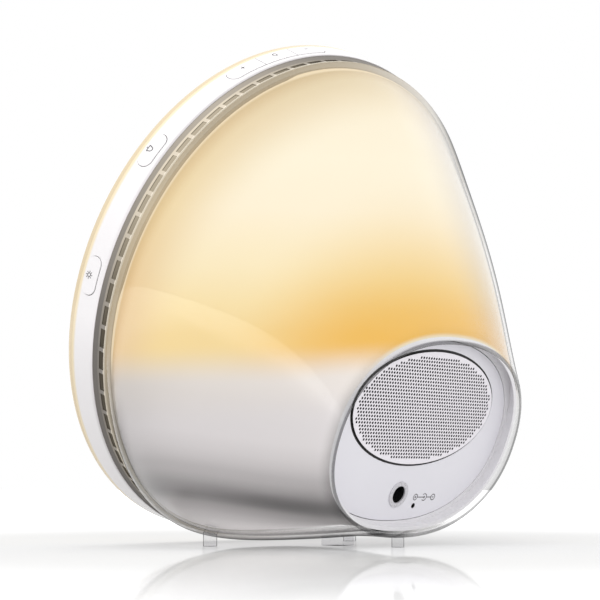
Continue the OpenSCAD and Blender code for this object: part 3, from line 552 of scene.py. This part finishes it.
def vent_plastic():
    """Grey satin plastic that the lamp shines through. Its slots have dark sides of painted shade,
    and light edges of painted highlight.
    """
    material = moulded("vent_satin", (0.145, 0.132, 0.12), 0.38, 0.05, 0.15)
    tree, sockets = opened(material)
    height, radius, depth, _ = tree.places()
    bar = tree.smooth(depth, *BAR_DEPTH)
    side = tree.smooth(radius, VENT_FACE_R, VENT_FACE_R - VENT_EASE)
    inside = tree.smooth(radius, VENT_INNER_R, VENT_INNER_R - VENT_EASE)
    edge = tree.smooth(depth, *EDGE_DEPTH)
    web = tree.smooth(depth, *WEB_DEPTH)
    color = sockets["Base Color"].links[0].from_socket
    slot = tree.greys(height, SLOT_GLOW)
    glow = tree.mix(bar, tree.greys(height, GROOVE_GLOW), tree.greys(height, BAR_GLOW))
    for zone, base, light in ((side, VENT_SIDE_SHADE, tree.mix(SIDE_DARKER, slot, BLACK)),
                              (inside, VENT_INSIDE_SHADE, slot),
                              (edge, VENT_EDGE_HIGHLIGHT, BLACK),
                              (web, VENT_WEB_WARM_SHADE, tree.greys(height, CHANNEL_GLOW))):
        color = tree.mix(zone, color, base)
        glow = tree.mix(zone, glow, light)
    tree.put(color, sockets["Base Color"])
    tree.put(tree.times(glow, VENT_LIGHT), sockets["Emission Color"])
    sockets["Emission Strength"].default_value = 1
    return material


white_gloss = band_plastic("white_gloss", (0.82, 0.80, 0.81), 0.18)
key_gloss = band_plastic("key_gloss", (0.83, 0.81, 0.82), 0.20)
vent_satin = vent_plastic()
panel_satin = pierced("panel_satin", (0.765, 0.755, 0.80), 0.32, PANEL_DEPTH)
# the pod's recess has a faint white painted glow
recess_white_glow = lit("recess_white_glow", (0.74, 0.73, 0.75), (1.0, 0.99, 1.0), 0.03, 0.3)
grille_satin = pierced("grille_satin", (0.84, 0.815, 0.86), 0.35, PANEL_DEPTH + GRILLE_PROUD, 0.1)
black_rubber_and_gap_shade = moulded("black_rubber_and_gap_shade", (0.012, 0.012, 0.012), 0.6, 0.05, 0.3)
bezel_bright = pierced("bezel_bright", (0.60, 0.59, 0.62), 0.28, PANEL_DEPTH, 0.3)
jack_plastic = moulded("jack_plastic", (0.015, 0.015, 0.018), 0.4)
pin_metal = moulded("pin_metal", (0.16, 0.16, 0.165), 0.3, 0.04, 0.1, metallic=1.0)
lens_milk = glowing_lens()
board_green = moulded("board_green", (0.03, 0.14, 0.07), 0.4)
dark_plastic = moulded("dark_plastic", (0.05, 0.05, 0.055), 0.5)
diffuser_white = moulded("diffuser_white", (0.85, 0.85, 0.83), 0.5)
digit_light = lit("digit_light", (0.62, 0.16, 0.03), (1.0, 0.30, 0.04), 0.35)
led_light = lit("led_light", (1.0, 0.85, 0.4), (1.0, 0.78, 0.4), 1.5)
aluminium = moulded("aluminium", (0.70, 0.71, 0.73), 0.35, 0.06, 0.2, metallic=1.0)
cone_pulp = moulded("cone_pulp", (0.06, 0.06, 0.065), 0.85, 0.05, 0.8, 400.0)
copper = moulded("copper", (0.72, 0.36, 0.16), 0.35, 0.05, 0.2, metallic=1.0)
magnet_plate = moulded("magnet_plate", (0.32, 0.32, 0.34), 0.4, 0.05, 0.2, metallic=0.8)
screw_steel = moulded("screw_steel", (0.6, 0.6, 0.62), 0.3, 0.05, 0.2, metallic=1.0)
print_grey = moulded("print_grey", (0.09, 0.085, 0.09), 0.5)
shell_clear = clear_wall("shell_clear", housing_painted_shade, 0.86, 0.2)
foot_clear = clear_wall("foot_clear", (0.91, 0.91, 0.915), 0.45, 0.08, 0.03)
reflector_glow = glowing_reflector()

NODE_MATERIALS = {
    "front_lens": lens_milk, "control_ring": white_gloss, "vent_ring": vent_satin,
    # the grille's black gasket stands in for the shaded gap round the grille, as painted shade
    "rear_panel": panel_satin, "grille_gasket": black_rubber_and_gap_shade, "jack_bezel": bezel_bright,
    "dc_jack": jack_plastic, "dc_jack_pin": pin_metal, "diffuser_disc": diffuser_white,
    "display_board": board_green, "display_mask": dark_plastic, "display_digits": digit_light,
    "light_shelf": diffuser_white, "led_board": diffuser_white, "leds": led_light,
    "heat_sink": aluminium, "speaker_chamber": dark_plastic, "speaker_basket": dark_plastic,
    "speaker_magnet": magnet_plate, "speaker_surround": black_rubber_and_gap_shade, "speaker_cone": cone_pulp,
    "voice_coil": copper, "main_board": board_green, "board_parts": dark_plastic,
    "key_board_right": board_green, "key_board_left": board_green,
    "key_switches_right": dark_plastic, "key_switches_left": dark_plastic,
    "ring_screws": screw_steel, "board_screws": screw_steel, "shelf_screws": screw_steel,
    "speaker_screws": screw_steel, "front_feet": foot_clear, "centre_foot": foot_clear,
    "rear_foot": foot_clear,
}
for name, thing in frame["nodes"].items():
    thing.data.materials.clear()
    thing.data.materials.append(NODE_MATERIALS.get(name, key_gloss))


# ---- clear housing and reflector ----
SHELL_ROWS = 70
LIP_R = SHELL_WALL / 2
LIP_STEP = 12               # degrees between the rows around the rear lip


def make_clear_shell():
    """The clear housing: outside, rounded rear lip and inside."""
    rear = SHELL_REAR - LIP_R
    rows = [(section(d, 0), d) for d in np.linspace(SHELL_FRONT, rear, SHELL_ROWS)]
    for a in np.radians(np.arange(LIP_STEP, 180, LIP_STEP)):
        d = rear + LIP_R * math.sin(a)
        rows.append((section(d, LIP_R - LIP_R * math.cos(a)), d))
    rows += [(section(d, SHELL_WALL), d) for d in np.linspace(rear, SHELL_FRONT, SHELL_ROWS)]
    shell = rows_to_object("clear_housing", rows, shell_clear)
    shell.visible_shadow = False
    shell.visible_diffuse = False
    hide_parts("clear_shell")
    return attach(shell, "housing")


RIM_EASE = 4                # degrees over which the front edge steps back
RIM_LEVEL = 0.6             # from the deepest of that edge to the first level row
OUTER_ROWS, INNER_ROWS = 60, 40
# the skirt's rear edge and inside, and the panel's seat
RECESS_ROWS = range(OUTER_ROWS + 1, OUTER_ROWS + 6)


def reflector_section(depth, inset):
    return section(depth, inset, REFLECTOR_LIFT)


def rim_row(inset):
    """The reflector's front edge, with a stretch along each side that stands back."""
    a = np.degrees(LOFT_ANGLES)
    a = np.minimum(a, 360 - a)
    begin, end = [np.clip((a - edge + RIM_EASE / 2) / RIM_EASE, 0, 1) for edge in RIM_STEP_SPAN]
    depths = REFLECTOR_FRONT + RIM_STEP * (begin - end)
    line = np.array([reflector_section(d, inset)[i] for i, d in enumerate(depths)])
    return line, depths


def make_reflector():
    """The white inner housing: the rear panel's opening and ledge, and a skirt round its recess."""
    seat = PANEL_DEPTH - PANEL_T
    level = REFLECTOR_FRONT + RIM_STEP + RIM_LEVEL
    outer, inner = REFLECTOR_INSET, REFLECTOR_INSET + REFLECTOR_WALL
    skirt = REFLECTOR_INSET + SKIRT_WALL
    rows = [rim_row(outer)]
    rows += [(reflector_section(d, outer), d) for d in np.linspace(level, PANEL_DEPTH, OUTER_ROWS)]
    rows += [(reflector_section(SKIRT_REAR, outer), SKIRT_REAR),
             (reflector_section(SKIRT_REAR, skirt), SKIRT_REAR),
             (reflector_section(PANEL_DEPTH, skirt), PANEL_DEPTH),
             (panel_section(-PANEL_GAP), PANEL_DEPTH), (panel_section(-PANEL_GAP), seat),
             (panel_section(LEDGE), seat), (panel_section(LEDGE), seat - REFLECTOR_WALL)]
    inside = np.linspace(seat - REFLECTOR_WALL, level, INNER_ROWS)
    rows += [(reflector_section(d, inner), d) for d in inside]
    rows += [rim_row(inner)]
    housing = rows_to_object("inner_reflector", rows, reflector_glow)
    housing.data.materials.append(recess_white_glow)
    for row in RECESS_ROWS:
        for k in range(row * LOFT_POINTS, (row + 1) * LOFT_POINTS):
            housing.data.polygons[k].material_index = 1
    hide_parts("reflector")
    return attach(housing, "housing")


make_clear_shell()
make_reflector()


# ---- speaker grille ----
HOLE_PITCH, ROW_PITCH = 1.4, 1.21
HOLE_R = 0.5
HOLE_MARGIN = 1.5           # from the plate's edge to the nearest hole's middle
HOLE_POINTS, EDGE_POINTS = 8, 160
SAME_POINT = 1e-5           # points that are nearer than this are one


def unit_circle(count):
    angles = [2 * math.pi * i / count for i in range(count)]
    return [(math.cos(a), math.sin(a)) for a in angles]


def grille_loops():
    """The plate's flat points, and the loops of their numbers: its edge first, then the holes."""
    points = [(GRILLE_HALF_W * s, GRILLE_HALF_H * c) for c, s in unit_circle(EDGE_POINTS)]
    loops = [list(range(EDGE_POINTS))]
    circle = [(HOLE_R * c, HOLE_R * s) for c, s in unit_circle(HOLE_POINTS)]
    rows = int(GRILLE_HALF_H / ROW_PITCH)
    across = int(GRILLE_HALF_W / HOLE_PITCH) + 1
    hole_w, hole_h = GRILLE_HALF_W - HOLE_MARGIN, GRILLE_HALF_H - HOLE_MARGIN
    for j in range(-rows, rows + 1):
        for i in range(-across, across + 1):
            x, y = (i + 0.5 * (j % 2)) * HOLE_PITCH, j * ROW_PITCH
            if math.hypot(x / hole_w, y / hole_h) < 1:
                loops.append(list(range(len(points), len(points) + HOLE_POINTS)))
                points += [(x + cx, y + cy) for cx, cy in circle]
    return points, loops


def make_grille():
    """A thin oval plate with a fine staggered hole pattern, cut by triangulating its face."""
    points, loops = grille_loops()
    edges = [(loop[k], loop[(k + 1) % len(loop)]) for loop in loops for k in range(len(loop))]
    flat, _, faces, _, _, _ = delaunay_2d_cdt([Vector(p) for p in points], edges, [], 0, SAME_POINT)
    count = len(flat)
    hole_of = {k: number for number, loop in enumerate(loops[1:]) for k in loop}
    kept = []
    for f in faces:
        owners = {hole_of.get(k) for k in f}
        if len(owners) > 1 or None in owners:
            kept.append(tuple(f))
    top = PANEL_DEPTH + GRILLE_PROUD
    solid = [face_point(p[0], p[1] - SPEAKER_DROP, depth)
             for depth in (top, top - GRILLE_T) for p in flat]
    sides = [(a, b, b + count, a + count) for a, b in edges]
    faces = kept + [tuple(k + count for k in reversed(f)) for f in kept] + sides
    plate = new_object("perforated_plate", solid, faces, grille_satin)
    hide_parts("speaker_grille")
    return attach(plate, "housing")


make_grille()


# ---- printed signs: generic pictograms on the keys and the polarity sign beside the inlet ----
PRINT_LIFT = 0.03
SIGN_FORWARD = 0.8          # how far a key's sign lies in front of its middle
STROKE = 0.32


def arc(x, y, r, start, end, count=16):
    """Points of an arc, from one angle to another in degrees."""
    angles = [math.radians(start + (end - start) * i / count) for i in range(count + 1)]
    return [(x + r * math.cos(a), y + r * math.sin(a)) for a in angles]


# strokes in millimetres: a bar, a circle, a cross, a bell and a sun
BAR, CIRCLE = [(-0.8, 0), (0.8, 0)], arc(0, 0, 0.85, 0, 360)
BELL = [(-1.2, -0.8)] + arc(0, 0.2, 0.85, 180, 0) + [(1.2, -0.8), (-1.2, -0.8)]
RAYS = [[(0.95 * c, 0.95 * s), (1.4 * c, 1.4 * s)] for c, s in unit_circle(8)]
KEY_SIGNS = ([BAR], [CIRCLE], [BAR, [(0, -0.8), (0, 0.8)]], [BELL, [(-0.3, -1.25), (0.3, -1.25)]],
             [arc(0, 0, 0.65, 0, 360)] + RAYS)
SIGN_X, SIGN_UP, SIGN_HALF = -15.2, -49.1, 5
POLARITY_SIGN = [
    arc(-SIGN_HALF, 0, 1.1, 0, 360), arc(SIGN_HALF, 0, 1.1, 0, 360), arc(0, 0, 1.3, 45, 315),
    arc(0, 0, 0.3, 0, 360), [(1.1 - SIGN_HALF, 0), (-1.3, 0)], [(0.3, 0), (SIGN_HALF - 1.1, 0)],
    [(-SIGN_HALF - 0.5, 0), (-SIGN_HALF + 0.5, 0)], [(SIGN_HALF - 0.5, 0), (SIGN_HALF + 0.5, 0)],
    [(SIGN_HALF, -0.5), (SIGN_HALF, 0.5)],
]


def printed(name, strokes, place, body):
    """Thin strokes laid on a surface. place turns a stroke's (x, y) in mm into a point on it."""
    points, faces = [], []
    for stroke in strokes:
        for (x0, y0), (x1, y1) in zip(stroke, stroke[1:]):
            length = math.hypot(x1 - x0, y1 - y0)
            nx, ny = -(y1 - y0) / length * STROKE / 2, (x1 - x0) / length * STROKE / 2
            faces.append(tuple(range(len(points), len(points) + 4)))
            points += [place(x0 + nx, y0 + ny), place(x1 + nx, y1 + ny),
                       place(x1 - nx, y1 - ny), place(x0 - nx, y0 - ny)]
    sign = new_object(name, points, faces, print_grey)
    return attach(sign, body)


def key_surface(side, angle):
    """Places (x, y) on a key's outer face, y to the rear, the way a reader in front sees it."""
    def place(x, y):
        z = KEY_MID + SIGN_FORWARD - y
        r = RING_R - RING_TAPER + RING_TAPER * z / RING_DEPTH + KEY_PROUD + PRINT_LIFT
        a = side * (math.radians(angle)) + x / r
        return face_point(r * math.sin(a), r * math.cos(a), -z)
    return place


def panel_surface(x, y):
    """Places (x, y) beside the inlet, on the rear panel."""
    return face_point(SIGN_X + x, SIGN_UP + y, PANEL_DEPTH + PRINT_LIFT)


for side_name, side in (("right", 1), ("left", -1)):
    for number, (angle, strokes) in enumerate(zip(KEY_ANGLES, KEY_SIGNS), 1):
        printed(f"key_sign_{side_name}_{number}", strokes, key_surface(side, angle),
                f"{side_name}_key_{number}")
printed("polarity_sign", POLARITY_SIGN, panel_surface, "housing")


# ---- floor, light and camera ----
FLOOR_HALF = 6.0            # metres
FLOOR_MATTE, FLOOR_GLOSS, FLOOR_ROUGH = 0.34, 0.42, 0.04
FLOOR_BASE, FLOOR_WHITE = 0.09, 1.05        # its own light near the clock and far from it
FLOOR_WHITE_R = (0.14, 0.52)        # metres from the middle over which it turns plain white
FLOOR_BOUNCE = 0.12         # the light that it gives the clock


def floor_material():
    """White in the eye's view and in mirrors, with less light on what stands on it."""
    material = new_material("floor_white")
    tree = Tree(material.node_tree)
    tree.nodes.clear()
    reach = tree.new("VectorMath", operation="LENGTH")
    tree.put(tree.new("TexCoord").outputs["Object"], reach.inputs[0])
    white = tree.smooth(reach.outputs["Value"], *FLOOR_WHITE_R, FLOOR_BASE, FLOOR_WHITE)
    path = tree.new("LightPath").outputs
    seen = tree.calc("MAXIMUM", path["Is Camera Ray"], path["Is Glossy Ray"])
    seen = tree.calc("MAXIMUM", seen, path["Is Transmission Ray"])
    strength = tree.new("Mix")
    tree.put(seen, strength.inputs["Factor"])
    tree.put(FLOOR_BOUNCE, strength.inputs["A"])
    tree.put(white, strength.inputs["B"])
    glow = tree.new("Emission")
    tree.put(strength.outputs["Result"], glow.inputs["Strength"])
    matte = tree.new("BsdfDiffuse")
    tree.put((FLOOR_MATTE, FLOOR_MATTE, FLOOR_MATTE), matte.inputs["Color"])
    gloss = tree.new("BsdfGlossy")
    tree.put((FLOOR_GLOSS, FLOOR_GLOSS, FLOOR_GLOSS), gloss.inputs["Color"])
    gloss.inputs["Roughness"].default_value = FLOOR_ROUGH
    last = glow
    for layer in (matte, gloss):
        joined = tree.new("AddShader")
        tree.put(last.outputs[0], joined.inputs[0])
        tree.put(layer.outputs[0], joined.inputs[1])
        last = joined
    tree.put(last.outputs[0], tree.new("OutputMaterial").inputs["Surface"])
    return material


def make_floor():
    """A white floor that takes soft shadows near the clock and is plain white farther out."""
    mesh = bpy.data.meshes.new("floor")
    r = FLOOR_HALF
    mesh.from_pydata([(-r, -r, 0), (r, -r, 0), (r, r, 0), (-r, r, 0)], [], [(0, 1, 2, 3)])
    floor = bpy.data.objects.new("floor", mesh)
    bpy.context.scene.collection.objects.link(floor)
    mesh.materials.append(floor_material())


def make_world():
    """A plain white room all round."""
    world = bpy.data.worlds.new("studio")
    bpy.context.scene.world = world
    world.use_nodes = True
    background = world.node_tree.nodes["Background"].inputs
    background["Color"].default_value = (1, 1, 1, 1)
    background["Strength"].default_value = 1


LAMP_TARGET = (0, 0, 0.1)
# name, place and width in metres, and watts
LAMPS = (("key_light", (0.5, 0.2, 1.4), 0.9, 5), ("fill_light", (0.93, 1.11, 0.5), 0.8, 5.5))


def add_lamp(name, place, size, watts):
    """A round lamp aimed at the clock. Neither mirrors nor refracting glass show it."""
    light = bpy.data.lights.new(name, "AREA")
    light.shape = "DISK"
    light.size = size
    light.energy = watts
    lamp = bpy.data.objects.new(name, light)
    bpy.context.scene.collection.objects.link(lamp)
    lamp.location = place
    aim = Vector(LAMP_TARGET) - Vector(place)
    lamp.rotation_euler = aim.to_track_quat("-Z", "Y").to_euler()
    lamp.visible_glossy = False
    lamp.visible_transmission = False


# the photograph's camera, solved from the ring's rear edge, its slots and the horizon
FOCAL_PX, PHOTO_PX, SENSOR_MM = 1647.4, 600, 36
CAMERA_FROM_RING = (453.08, 417.88, -69.16)     # from the middle of the ring's rear edge
CAMERA_TURN, CAMERA_PITCH = math.radians(132.44), math.radians(6.44)
CLIP_RANGE = (0.01, 50)             # metres


def make_camera():
    data = bpy.data.cameras.new("photo_camera")
    data.sensor_width = SENSOR_MM
    data.lens = SENSOR_MM * FOCAL_PX / PHOTO_PX
    data.clip_start, data.clip_end = CLIP_RANGE
    camera = bpy.data.objects.new("photo_camera", data)
    bpy.context.scene.collection.objects.link(camera)
    x, y, z = CAMERA_FROM_RING
    camera.location = Vector((x, centre_y + y, centre_z + z)) * MM
    level = math.cos(CAMERA_PITCH)
    look = Vector((-math.sin(CAMERA_TURN) * level, math.cos(CAMERA_TURN) * level,
                   math.sin(CAMERA_PITCH)))
    camera.rotation_euler = look.to_track_quat("-Z", "Y").to_euler()
    bpy.context.scene.camera = camera


make_floor()
make_world()
for lamp in LAMPS:
    add_lamp(*lamp)
make_camera()
scene = bpy.context.scene
scene.view_settings.view_transform = "Standard"
scene.cycles.max_bounces = 32
scene.cycles.transmission_bounces = 32
scene.cycles.glossy_bounces = 16
